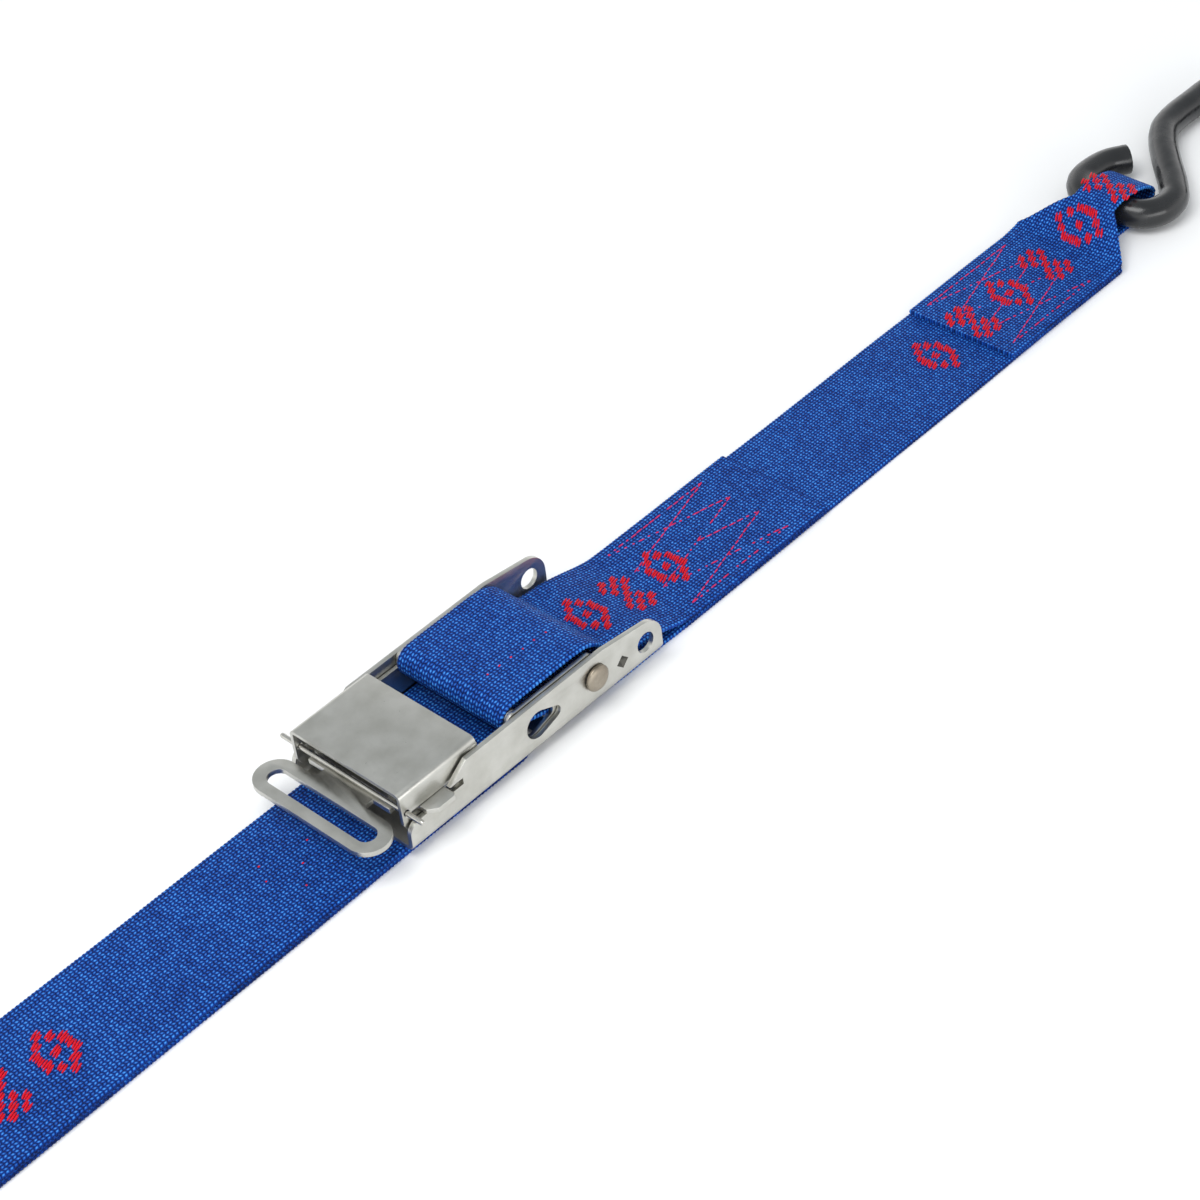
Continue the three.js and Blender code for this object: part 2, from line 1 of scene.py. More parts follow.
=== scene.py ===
# %% [markdown]
# # A strap tie-down with an over-centre buckle
#
# The object is a flat webbing strap with a steel buckle in its middle and a coated hook at
# each end. The steel, the pivots and the hooks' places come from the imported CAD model. This
# script adds what a person sees: woven webbing, red woven motifs, sewing, rounded sheet-metal
# edges and the finish of each material.

# %% Load the model that everything is built around
import math
import random

import bpy
from mathutils import Matrix, Vector


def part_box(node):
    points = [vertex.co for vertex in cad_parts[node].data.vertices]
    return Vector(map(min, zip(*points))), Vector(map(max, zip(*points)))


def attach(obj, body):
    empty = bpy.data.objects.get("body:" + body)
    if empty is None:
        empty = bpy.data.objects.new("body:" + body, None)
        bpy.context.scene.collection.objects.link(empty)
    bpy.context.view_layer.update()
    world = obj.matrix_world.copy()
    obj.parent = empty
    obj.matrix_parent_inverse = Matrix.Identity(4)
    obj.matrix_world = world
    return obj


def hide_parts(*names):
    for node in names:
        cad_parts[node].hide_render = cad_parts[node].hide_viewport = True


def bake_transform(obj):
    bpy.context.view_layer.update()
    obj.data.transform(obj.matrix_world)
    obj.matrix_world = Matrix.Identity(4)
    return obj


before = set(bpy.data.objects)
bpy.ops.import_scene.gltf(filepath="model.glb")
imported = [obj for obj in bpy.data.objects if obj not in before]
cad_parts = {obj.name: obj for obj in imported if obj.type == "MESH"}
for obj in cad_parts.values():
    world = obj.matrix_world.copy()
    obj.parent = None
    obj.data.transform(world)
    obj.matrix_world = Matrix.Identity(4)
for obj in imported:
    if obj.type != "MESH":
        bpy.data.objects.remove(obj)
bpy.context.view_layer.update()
MM = 0.001

# %% [markdown]
# ## Colours and nodes
#
# Paint and yarn colours are written the way a designer picks them, as sRGB hex values.
# Blender's shaders work in linear light, so one function turns a hex value into that.
# A second small function adds a shader node with its settings and links, so that each
# material below reads as a short recipe.


# %% Colour and node helpers
def colour(hex_value):
    parts = [int(hex_value[i:i + 2], 16) / 255 for i in (1, 3, 5)]
    linear = [p / 12.92 if p <= 0.04045 else ((p + 0.055) / 1.055) ** 2.4 for p in parts]
    return (*linear, 1.0)


def add(tree, kind, inputs=None, **settings):
    """Adds a node. An input is a plain value, another node (its first output), or an output."""
    made = tree.nodes.new(kind)
    for key, value in settings.items():
        setattr(made, key, value)
    for key, value in (inputs or {}).items():
        if isinstance(value, bpy.types.Node):
            value = next(output for output in value.outputs if output.enabled)
        if isinstance(value, bpy.types.NodeSocket):
            tree.links.new(value, made.inputs[key])
        else:
            made.inputs[key].default_value = value
    return made


def feed(tree, shader, **sources):
    """Links nodes to the shader's sockets."""
    for key, source in sources.items():
        output = next(output for output in source.outputs if output.enabled)
        tree.links.new(output, shader.inputs[key.replace("_", " ")])


def new_material(name, base, roughness, metallic=0.0, **sockets):
    material = bpy.data.materials.new(name)
    material.use_nodes = True
    shader = material.node_tree.nodes["Principled BSDF"]
    shader.inputs["Base Color"].default_value = colour(base)
    shader.inputs["Roughness"].default_value = roughness
    shader.inputs["Metallic"].default_value = metallic
    for key, value in sockets.items():
        shader.inputs[key.replace("_", " ")].default_value = value
    return material, material.node_tree, shader


# %% [markdown]
# ## Stainless sheet
#
# The buckle is stamped from stainless sheet and tumbled with stones to take the burrs off.
# That leaves a satin grey with very fine random scratches, faint cloudy patches, and a
# slightly rougher face than rolled sheet. Long brushed lines from the rolling still show.


# %% Stainless, rivet and wire materials
ROLLED_STRETCH = (0.04, 1.0, 1.0)
SPECK_TO_GRAIN = 2.2
CLOUD = 9 * MM


def metal(name, base, dark, roughness, grain_mm, rolled, bump_mm):
    """Rolled says how much of the grain is long lines, from 0 to 1."""
    material, tree, shader = new_material(name, base, roughness, metallic=1.0)
    place = add(tree, "ShaderNodeTexCoord").outputs["Object"]
    along = add(tree, "ShaderNodeMapping", {"Vector": place, "Scale": ROLLED_STRETCH})
    lines = add(tree, "ShaderNodeTexNoise",
                {"Vector": along, "Scale": 1 / (grain_mm * MM), "Detail": 4.0})
    speck = SPECK_TO_GRAIN * grain_mm * MM
    specks = add(tree, "ShaderNodeTexNoise",
                 {"Vector": place, "Scale": 1 / speck, "Detail": 5.0})
    grain = add(tree, "ShaderNodeMix", {"Factor": rolled, 2: specks, 3: lines})
    # cloudy patches from the tumbling, and small brown-grey stains
    clouds = add(tree, "ShaderNodeTexNoise",
                 {"Vector": place, "Scale": 1 / CLOUD, "Detail": 4.0})
    patches = add(tree, "ShaderNodeMapRange",
                  {"Value": clouds, "From Min": 0.35, "From Max": 0.7})
    tint = add(tree, "ShaderNodeMix",
               {"Factor": patches, 6: colour(base), 7: colour(dark)}, data_type="RGBA")
    rough = add(tree, "ShaderNodeMapRange",
                {"Value": grain, "From Min": 0.3, "From Max": 0.7,
                 "To Min": roughness - 0.06, "To Max": roughness + 0.1})
    bump = add(tree, "ShaderNodeBump",
               {"Height": grain, "Strength": 0.35, "Distance": bump_mm * MM})
    feed(tree, shader, Base_Color=tint, Roughness=rough, Normal=bump)
    return material


tumbled_stainless = metal("tumbled_stainless_sheet", "#c6c5bf", "#b6b5ae",
                          roughness=0.33, grain_mm=0.35, rolled=0.45, bump_mm=0.05)
# darker steel for the punch marks' walls, painted shade in their recess
punch_mark_painted_shade = metal("stainless_sheet_painted_shade", "#5d5c57", "#45443f",
                           roughness=0.5, grain_mm=0.35, rolled=0.0, bump_mm=0.05)
rivet_steel = metal("headed_rivet_steel", "#a49b8d", "#7f7567",
                    roughness=0.4, grain_mm=0.3, rolled=0.0, bump_mm=0.06)
# wire drawn through a die is smooth, so its grain is broad and has no height
spring_wire = metal("drawn_spring_wire", "#c9c7c1", "#aeaca5",
                    roughness=0.24, grain_mm=4.0, rolled=0.0, bump_mm=0.0)
hook_wire = metal("zinc_plated_wire", "#8e9093", "#6b6d70",
                  roughness=0.42, grain_mm=0.3, rolled=0.0, bump_mm=0.05)


# %% [markdown]
# ## Dipped vinyl
#
# The hooks are dipped in liquid vinyl (plastisol) and baked. The coat is black, thick and
# glossy, with a faint orange-peel ripple where it ran as it cured, and dull rub marks.


# %% Vinyl material
ORANGE_PEEL = 5 * MM
RUB_MARK = 12 * MM


def vinyl():
    material, tree, shader = new_material("dipped_black_vinyl", "#141517", 0.22, IOR=1.53)
    place = add(tree, "ShaderNodeTexCoord").outputs["Object"]
    ripple = add(tree, "ShaderNodeTexNoise",
                 {"Vector": place, "Scale": 1 / ORANGE_PEEL, "Detail": 1.0})
    rubs = add(tree, "ShaderNodeTexNoise",
               {"Vector": place, "Scale": 1 / RUB_MARK, "Detail": 6.0})
    rough = add(tree, "ShaderNodeMapRange",
                {"Value": rubs, "From Min": 0.45, "From Max": 0.75,
                 "To Min": 0.18, "To Max": 0.42})
    tint = add(tree, "ShaderNodeMix",
               {"Factor": rubs, 6: colour("#0f1011"), 7: colour("#232426")}, data_type="RGBA")
    bump = add(tree, "ShaderNodeBump",
               {"Height": ripple, "Strength": 0.25, "Distance": 0.4 * MM})
    feed(tree, shader, Base_Color=tint, Roughness=rough, Normal=bump)
    return material


dipped_vinyl = vinyl()

# %% [markdown]
# ## Woven polyester webbing
#
# Flat tie-down webbing is a dense plain weave. Thick warp yarns run along the strap, and
# each one dives under a weft pick every 1.6 mm, so the face is a brick pattern of small
# rounded grains. A painted highlight makes the top of each grain the brightest, and painted
# shade makes the hollows between grains nearly navy. The pattern is drawn from the strap's own
# UV map, which is in metres, so it follows every fold. The height of the grains is used
# three times: for colour with its painted highlight and shade, for roughness and for bump.

# %% Webbing material
WARP = 1.25 * MM
PICK = 1.6 * MM
YARN_WANDER = 0.5 * MM
WANDER_LENGTH = 7 * MM
# single filaments are 0.02 mm; they are drawn at 0.16 mm so that they show
FILAMENT = 0.16 * MM
SOIL_PATCH = 38 * MM
GRAIN_CHANCE = 0.3
SOIL_SHARE = 0.3


def webbing(name, valley_shade, body, crown_highlight):
    material, tree, shader = new_material(name, body, 0.55, IOR=1.5)
    shader.inputs["Specular IOR Level"].default_value = 0.12
    shader.inputs["Sheen Weight"].default_value = 0.03
    shader.inputs["Sheen Roughness"].default_value = 0.4
    shader.inputs["Sheen Tint"].default_value = colour("#7fb2ff")
    uv = add(tree, "ShaderNodeUVMap", uv_map="weave")
    place = add(tree, "ShaderNodeSeparateXYZ", {0: uv})
    # every yarn wanders a little, so no two grains line up exactly
    wander = add(tree, "ShaderNodeTexNoise",
                 {"Vector": uv, "Scale": 1 / WANDER_LENGTH, "Detail": 2.0})
    shift = add(tree, "ShaderNodeMath", {0: wander, 1: YARN_WANDER, 2: -YARN_WANDER / 2},
                operation="MULTIPLY_ADD")
    shifted = add(tree, "ShaderNodeMath", {0: place.outputs[0], 1: shift}, operation="ADD")
    across = add(tree, "ShaderNodeMath", {0: shifted, 1: WARP}, operation="DIVIDE")
    yarn_x = add(tree, "ShaderNodeMath", {0: across}, operation="FRACT")
    column = add(tree, "ShaderNodeMath", {0: across}, operation="FLOOR")
    odd = add(tree, "ShaderNodeMath", {0: column, 1: 2.0}, operation="FLOORED_MODULO")
    # neighbouring yarns are half a pick apart, and their twist leans the grains both ways
    picks = add(tree, "ShaderNodeMath", {0: place.outputs[1], 1: PICK}, operation="DIVIDE")
    stepped = add(tree, "ShaderNodeMath", {0: odd, 1: 0.5, 2: picks}, operation="MULTIPLY_ADD")
    way = add(tree, "ShaderNodeMath", {0: odd, 1: 0.7, 2: -0.35}, operation="MULTIPLY_ADD")
    along = add(tree, "ShaderNodeMath", {0: yarn_x, 1: way, 2: stepped},
                operation="MULTIPLY_ADD")
    yarn_y = add(tree, "ShaderNodeMath", {0: along}, operation="FRACT")
    row = add(tree, "ShaderNodeMath", {0: along}, operation="FLOOR")
    turn_x = add(tree, "ShaderNodeMath", {0: yarn_x, 1: math.pi}, operation="MULTIPLY")
    turn_y = add(tree, "ShaderNodeMath", {0: yarn_y, 1: math.pi}, operation="MULTIPLY")
    round_x = add(tree, "ShaderNodeMath", {0: turn_x}, operation="SINE")
    round_y = add(tree, "ShaderNodeMath", {0: turn_y}, operation="SINE")
    dome = add(tree, "ShaderNodeMath", {0: round_x, 1: round_y}, operation="MULTIPLY")
    grain = add(tree, "ShaderNodeMath", {0: dome, 1: 0.6}, operation="POWER")
    # one random number for each grain
    cell = add(tree, "ShaderNodeCombineXYZ", {0: column, 1: row})
    chance = add(tree, "ShaderNodeTexWhiteNoise", {"Vector": cell}, noise_dimensions="2D")
    fine = add(tree, "ShaderNodeMapping", {"Vector": uv, "Scale": (1.0, 0.12, 1.0)})
    filaments = add(tree, "ShaderNodeTexNoise",
                    {"Vector": fine, "Scale": 1 / FILAMENT, "Detail": 3.0})
    soil = add(tree, "ShaderNodeTexNoise",
               {"Vector": uv, "Scale": 1 / SOIL_PATCH, "Detail": 3.0})
    # the grain's dome paints a highlight on its top and shade in the hollows; the random number
    # and the soil patches add real tone
    lift = add(tree, "ShaderNodeMath", {0: chance, 1: GRAIN_CHANCE, 2: dome},
               operation="MULTIPLY_ADD")
    level = add(tree, "ShaderNodeMath", {0: soil, 1: SOIL_SHARE, 2: lift},
                operation="MULTIPLY_ADD")
    low = add(tree, "ShaderNodeMapRange",
              {"Value": level, "From Min": 0.2, "From Max": 0.85})
    high = add(tree, "ShaderNodeMapRange",
               {"Value": level, "From Min": 0.95, "From Max": 1.4})
    # the first colour is painted shade between the grains, the last a painted highlight on
    # their tops
    shade_to_body = add(tree, "ShaderNodeMix",
                       {"Factor": low, 6: colour(valley_shade), 7: colour(body)}, data_type="RGBA")
    tint = add(tree, "ShaderNodeMix",
               {"Factor": high, 6: shade_to_body, 7: colour(crown_highlight)}, data_type="RGBA")
    rough = add(tree, "ShaderNodeMapRange", {"Value": grain, "To Min": 0.8, "To Max": 0.45})
    height = add(tree, "ShaderNodeMath", {0: filaments, 1: 0.3, 2: grain},
                 operation="MULTIPLY_ADD")
    bump = add(tree, "ShaderNodeBump",
               {"Height": height, "Strength": 0.9, "Distance": 0.4 * MM})
    feed(tree, shader, Base_Color=tint, Roughness=rough, Normal=bump)
    return material


# the first colour is painted shade between the grains, the last a painted highlight on the
# grain tops
blue_webbing = webbing("woven_polyester_royal_blue", "#02113e", "#08409c", "#4596e6")

# %% [markdown]
# ## Red yarn and sewing thread
#
# The woven motif and the sewing are both bright red polyester. They are real strands here,
# so their materials only add the twist of the filaments and a soft sheen.


# %% Yarn materials
FIBRE_STRETCH = (0.25, 1.0, 1.0)


def yarn(name, base, light, twist_mm):
    material, tree, shader = new_material(name, base, 0.5, IOR=1.5)
    shader.inputs["Specular IOR Level"].default_value = 0.2
    shader.inputs["Sheen Weight"].default_value = 0.05
    shader.inputs["Sheen Tint"].default_value = colour("#ff9a9a")
    place = add(tree, "ShaderNodeTexCoord").outputs["Object"]
    drawn = add(tree, "ShaderNodeMapping", {"Vector": place, "Scale": FIBRE_STRETCH})
    fibres = add(tree, "ShaderNodeTexNoise",
                 {"Vector": drawn, "Scale": 1 / (twist_mm * MM), "Detail": 3.0})
    band = add(tree, "ShaderNodeMapRange",
               {"Value": fibres, "From Min": 0.35, "From Max": 0.7})
    tint = add(tree, "ShaderNodeMix",
               {"Factor": band, 6: colour(base), 7: colour(light)}, data_type="RGBA")
    bump = add(tree, "ShaderNodeBump",
               {"Height": fibres, "Strength": 0.5, "Distance": 0.1 * MM})
    feed(tree, shader, Base_Color=tint, Normal=bump)
    return material


motif_yarn = yarn("red_polyester_motif_yarn", "#b4001a", "#dc0b27", twist_mm=0.3)
sewing_thread = yarn("red_polyester_sewing_thread", "#b00a42", "#dc2a66", twist_mm=0.15)

# %% [markdown]
# ## Rounding the sheet metal
#
# The CAD plates have knife edges. Stamped and tumbled sheet has a small round on every
# edge, and that round is what catches the light. Each steel piece is a copy of its CAD
# node: the loose triangles are merged, flat areas are joined into clean faces, and a Bevel
# modifier rounds every sharp edge. The shape and size stay what the CAD says.


# %% Modelling helpers
def select_only(piece):
    bpy.ops.object.select_all(action="DESELECT")
    piece.select_set(True)
    bpy.context.view_layer.objects.active = piece


def finish_piece(piece, material, body, slot, *replaced):
    """Gives a finished piece its material, its body and the CAD nodes it stands for."""
    piece.data.materials.clear()
    piece.data.materials.append(material)
    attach(piece, body)
    if replaced:
        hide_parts(*replaced)
    triangles = sum(len(p.vertices) - 2 for p in piece.data.polygons)
    print(f"{piece.name}: {triangles} triangles")
    return piece


def rounded_copy(node, name, material, body, slot, edge_mm):
    """A copy of a CAD node, cleaned, with every sharp edge rounded by edge_mm."""
    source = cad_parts[node]
    piece = source.copy()
    piece.data = source.data.copy()
    piece.name = name
    bpy.context.scene.collection.objects.link(piece)
    piece.parent = None
    piece.matrix_world = Matrix.Identity(4)
    piece.animation_data_clear()
    select_only(piece)
    bpy.ops.object.mode_set(mode="EDIT")
    bpy.ops.mesh.select_all(action="SELECT")
    bpy.ops.mesh.remove_doubles(threshold=0.002 * MM)
    bpy.ops.mesh.dissolve_limited(angle_limit=math.radians(0.5))
    bpy.ops.object.mode_set(mode="OBJECT")
    bevel = piece.modifiers.new("rounded_edges", "BEVEL")
    bevel.width = edge_mm * MM
    bevel.segments = 3
    bevel.limit_method = "ANGLE"
    bevel.angle_limit = math.radians(32)
    bevel.use_clamp_overlap = True
    bevel.harden_normals = False
    bpy.ops.object.modifier_apply(modifier=bevel.name)
    bpy.ops.object.shade_smooth_by_angle(angle=math.radians(26))
    return finish_piece(piece, material, body, slot, node)


# %% The steel pieces of the buckle
PUNCH_MARK = Vector((48.6, 12.5)) * MM
PUNCH_REACH = 2.7 * MM
# faces further out than this, and not lying flat along the plate, are the mark's own
PLATE_INSIDE = 26.9 * MM
FLAT_ON = 0.97

frame_plate = rounded_copy("frame_channel", "buckle_frame_plate", tumbled_stainless,
                           "buckle_frame", "stainless_plate", 0.32)
# the sloped walls of the punch marks get a darker steel: painted shade in their recess
frame_plate.data.materials.append(punch_mark_painted_shade)
for face in frame_plate.data.polygons:
    aside = (Vector((face.center.x, face.center.z)) - PUNCH_MARK).length
    in_plate = abs(face.center.y) > PLATE_INSIDE
    if aside < PUNCH_REACH and in_plate and abs(face.normal.y) < FLAT_ON:
        face.material_index = 1
rounded_copy("handle_cover", "handle_cover_plate", tumbled_stainless, "handle",
             "stainless_plate", 0.22)
rounded_copy("handle_bar", "handle_bar_pin", tumbled_stainless, "handle",
             "stainless_plate", 0.2)
rounded_copy("latch_slide", "latch_pull_plate", tumbled_stainless, "latch",
             "stainless_plate", 0.35)
for side in ("left", "right"):
    rounded_copy(f"pivot_rivet_{side}", f"pivot_rivet_head_{side}", rivet_steel,
                 "buckle_frame", "rivet_steel", 0.25)

# %% [markdown]
# ## The spring wire
#
# The wire's ends sit in holes in the handle's walls, and its middle leans on two small tabs
# of the latch. When the latch slides, the wire bows. It is made as two straight halves, which
# meet at the wire's middle.

# %% Two halves of the spring wire
wire_low, wire_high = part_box("latch_spring")
wire_middle = (wire_low + wire_high) / 2
wire_radius = (wire_high.x - wire_low.x) / 2
WIRE_STEPS = 60
WIRE_END_SCALE = 0.75

for side, way in (("left", 1), ("right", -1)):
    curve = bpy.data.curves.new(f"latch_spring_wire_{side}", "CURVE")
    curve.dimensions = "3D"
    curve.bevel_depth = wire_radius
    curve.bevel_resolution = 4
    curve.use_fill_caps = True
    spline = curve.splines.new("POLY")
    spline.points.add(WIRE_STEPS)
    for i, spot in enumerate(spline.points):
        along = wire_high.y * i / WIRE_STEPS
        spot.co = (wire_middle.x, way * along, wire_middle.z, 1)
    # the cut end is chamfered a little
    spline.points[-1].radius = WIRE_END_SCALE
    half_wire = bpy.data.objects.new(f"latch_spring_wire_{side}", curve)
    bpy.context.scene.collection.objects.link(half_wire)
    select_only(half_wire)
    bpy.ops.object.convert(target="MESH")
    half_wire = bpy.context.active_object
    bpy.ops.object.shade_smooth_by_angle(angle=math.radians(50))
    half_wire.data.materials.append(spring_wire)
    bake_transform(half_wire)
    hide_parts("latch_spring")

# %% [markdown]
# ## The route of the webbing
#
# A strap is one long ribbon, so it is drawn from the side first: a few chosen points in X
# and Z, joined by a smooth curve. The same curve can be asked for its height anywhere,
# which is how the motifs and the stitches find the surface later.

# %% Webbing sizes and routes
WEB_WIDTH = 50
WEB_THICK = 1.6
TABLE_Z = WEB_THICK / 2
LAYER_GAP = 0.3
SECOND_Z = TABLE_Z + WEB_THICK + LAYER_GAP


def smooth_curve(points, steps):
    """A centripetal Catmull-Rom curve through flat points, as a polyline."""
    pts = [Vector(p) for p in points]
    pts = [2 * pts[0] - pts[1], *pts, 2 * pts[-1] - pts[-2]]
    spans = len(pts) - 3
    route = []
    for i in range(steps + 1):
        at = min(i / steps * spans, spans - 1e-9)
        k, t = int(at), at - int(at)
        p0, p1, p2, p3 = pts[k:k + 4]
        gaps = ((p0, p1), (p1, p2), (p2, p3))
        d0, d1, d2 = [max((b - a).length, 1e-6) ** 0.5 for a, b in gaps]
        m1 = ((p1 - p0) / d0 - (p2 - p0) / (d0 + d1) + (p2 - p1) / d1) * d1
        m2 = ((p2 - p1) / d1 - (p3 - p1) / (d1 + d2) + (p3 - p2) / d2) * d1
        a = 2 * (p1 - p2) + m1 + m2
        b = -3 * (p1 - p2) - 2 * m1 - m2
        route.append(((a * t + b) * t + m1) * t + p1)
    return route


def smooth_route(points, steps):
    """The strap's middle line through (x, z) points, never lower than lying on the table."""
    return [Vector((p.x, max(p.y, TABLE_Z))) for p in smooth_curve(points, steps)]


EYE_LOOP = [(-330, SECOND_Z), (-340, 4.6), (-352, 12.6), (-361, 15.6), (-370, 15.3),
            (-379, 12.4), (-383.6, 7.9), (-380, 3.0), (-371, TABLE_Z)]
CROSSBAR_Z = 6.9
FLOOR_WEAVE = [(-19, SECOND_Z), (-13.6, 3.9), (-10.8, 6.2), (-7, CROSSBAR_Z - 0.1),
               (-2, CROSSBAR_Z), (3, CROSSBAR_Z - 0.1), (5.6, 5.6), (5.8, 3.2),
               (2.4, TABLE_Z + 0.15), (-2, TABLE_Z)]
HANDLE_LOOP = [(92, SECOND_Z), (86, 3.0), (80, 4.4), (72, 6.8), (64, 8.6), (57, 9.4),
               (52, 10.2), (48.6, 13.2), (45.6, 17.6), (42.2, 22.2), (38, 25.2), (32, 26.3),
               (20, 26.5), (4, 26.5), (-1.4, 26), (-4.4, 23.2), (-4.5, 19.4), (-0.6, 16.7),
               (9, 13.9), (28, 8), (38, 3.8), (46, 1.4), (53, TABLE_Z)]

strap_a_route = [
    Vector((-254, SECOND_Z)), *smooth_route(EYE_LOOP, 90),
    Vector((-246, TABLE_Z)),
    *smooth_route([(-242, TABLE_Z), (-239, 1.4), (-236, 2.3), (-232, SECOND_Z)], 16),
    *smooth_route(FLOOR_WEAVE, 90), Vector((-232, TABLE_Z)),
]
strap_b_route = [
    Vector((160, SECOND_Z)), *smooth_route(HANDLE_LOOP, 200),
    *smooth_route([(-x, z) for x, z in reversed(EYE_LOOP)], 90), Vector((270, SECOND_Z)),
]


def even_route(route, step):
    """The same route with its points an even distance apart, and its whole length."""
    ends = [0.0]
    for a, b in zip(route, route[1:]):
        ends.append(ends[-1] + (b - a).length)
    count = round(ends[-1] / step)
    even, k = [], 0
    for i in range(count + 1):
        at = ends[-1] * i / count
        while k < len(route) - 2 and ends[k + 1] < at:
            k += 1
        part = (at - ends[k]) / max(ends[k + 1] - ends[k], 1e-9)
        even.append(route[k].lerp(route[k + 1], min(max(part, 0), 1)))
    return even, ends[-1]


# %% [markdown]
# ## Making the webbing
#
# Each strap is built directly as a mesh, because cloth simulation would stretch flat
# webbing. A cross-section of the ribbon, with round selvedges, is carried along the route.
# The section gets narrower where the strap is squeezed through a hook's eye, the selvedge
# is scalloped by the weft turning round at each pick, and the ribbon waves very slightly.

# %% Webbing builder
COLUMNS = 26
ROW_STEP = PICK / MM / 2
SELVEDGE = 0.55
SCALLOP = 0.13
EDGE_WAVE = 0.10
WIDTH_WAVE_LENGTH = 17
LIFT_WAVE_LENGTH = 23
SIDE_LAG = 1.7


def section(half, thickness):
    """Points (y, n) round the ribbon: upper face, one selvedge, lower face, the other."""
    flat = half - SELVEDGE
    t = thickness / 2
    upper = [(-flat + 2 * flat * j / COLUMNS, t) for j in range(COLUMNS + 1)]
    right = [(flat + SELVEDGE * math.sin(a), t * math.cos(a))
             for a in (math.radians(45), math.radians(90), math.radians(135))]
    lower = [(y, -t) for y, _ in reversed(upper)]
    left = [(-y, n) for y, n in reversed(right)]
    return upper + right + lower + left


def strap(name, route, half_width, seed):
    """The ribbon's mesh, and the length of its route."""
    rows, length = even_route(route, ROW_STEP)
    chance = random.Random(seed)
    width_phase, lift_phase = [chance.uniform(0, 2 * math.pi) for _ in range(2)]
    verts, faces, uvs = [], [], []
    count = len(section(1, WEB_THICK))
    for i, point in enumerate(rows):
        ahead = rows[min(i + 1, len(rows) - 1)] - rows[max(i - 1, 0)]
        ahead.normalize()
        out = Vector((-ahead.y, ahead.x))
        s = length * i / (len(rows) - 1)
        half = half_width(point)
        half += EDGE_WAVE * math.sin(s / WIDTH_WAVE_LENGTH + width_phase)
        half += SCALLOP if i % 2 else -SCALLOP
        for y, n in section(half, WEB_THICK):
            # the selvedges lie a touch lower or higher than the middle, in long waves
            edge = (2 * abs(y) / WEB_WIDTH) ** 2
            lag = SIDE_LAG if y > 0 else 0
            wave = EDGE_WAVE * edge * math.sin(s / LIFT_WAVE_LENGTH + lift_phase + lag)
            at = point + out * (n + wave)
            verts.append((at.x * MM, y * MM, max(at.y, 0.02) * MM))
            uvs.append((y * MM, s * MM))
    for i in range(len(rows) - 1):
        for j in range(count):
            a, b = i * count + j, i * count + (j + 1) % count
            faces.append((a, a + count, b + count, b))
    faces.append(tuple(range(count)))
    last = (len(rows) - 1) * count
    faces.append(tuple(last + j for j in reversed(range(count))))
    mesh = bpy.data.meshes.new(name)
    mesh.from_pydata(verts, [], faces)
    layer = mesh.uv_layers.new(name="weave")
    for loop in mesh.loops:
        layer.data[loop.index].uv = uvs[loop.vertex_index]
    mesh.validate()
    piece = bpy.data.objects.new(name, mesh)
    bpy.context.scene.collection.objects.link(piece)
    select_only(piece)
    bpy.ops.object.mode_set(mode="EDIT")
    bpy.ops.mesh.select_all(action="SELECT")
    bpy.ops.mesh.normals_make_consistent(inside=False)
    bpy.ops.object.mode_set(mode="OBJECT")
    bpy.ops.object.shade_smooth_by_angle(angle=math.radians(60))
    return piece, length


def between(x, x0, x1, y0, y1):
    """A straight change from y0 to y1 while x goes from x0 to x1."""
    part = min(max((x - x0) / (x1 - x0), 0), 1)
    return y0 + (y1 - y0) * part


EYE_TAPER = (340, 356)
EYE_HALF = 9.6
HANDLE_TAPER = (72, 84)
HANDLE_HALF = 24.6


def near_eye(x):
    """Half the strap's width near a hook's eye, at a distance x from the buckle's middle."""
    return between(x, *EYE_TAPER, WEB_WIDTH / 2, EYE_HALF)


def strap_a_half(point):
    return near_eye(-point.x)


def strap_b_half(point):
    inside_handle = between(point.x, *HANDLE_TAPER, HANDLE_HALF, WEB_WIDTH / 2)
    return min(inside_handle, near_eye(point.x))


strap_a, strap_a_length = strap("strap_a_webbing", strap_a_route, strap_a_half, 3)
strap_b, strap_b_length = strap("strap_b_webbing", strap_b_route, strap_b_half, 8)
finish_piece(strap_a, blue_webbing, "buckle_frame", "webbing", "strap_a")
finish_piece(strap_b, blue_webbing, "strap_b_body", "webbing", "strap_b")
print(f"strap a {strap_a_length:.0f} mm, strap b {strap_b_length:.0f} mm")

# %% [markdown]
# ## Sewing
#
# Webbing is joined with a box of zigzag stitches, so that every stitch pulls along the
# strap. Two zigzags cross each other and two straight lines close the sides. The lockstitch
# sinks between the grains: some lines lie proud as long stitches, and others show only as
# dots. One stitch is modelled once, as a slim rounded bead, and copied along each line.
# Every copy is turned to lie on the strap's own surface.

# %% Finding the top of a strap
even_a, _ = even_route(strap_a_route, 1.0)
even_b, _ = even_route(strap_b_route, 1.0)


def top_of(route, x):
    """The highest place of the webbing's upper face at x, and the slope of the strap there."""
    best = None
    for a, b in zip(route, route[1:]):
        if min(a.x, b.x) <= x <= max(a.x, b.x) and abs(b.x - a.x) > 0.05:
            z = a.y + (b.y - a.y) * (x - a.x) / (b.x - a.x)
            slope = (b.y - a.y) / (b.x - a.x)
            if best is None or z > best[0]:
                best = (z, slope)
    z, slope = best
    return z + WEB_THICK / 2 * math.sqrt(1 + slope * slope), slope


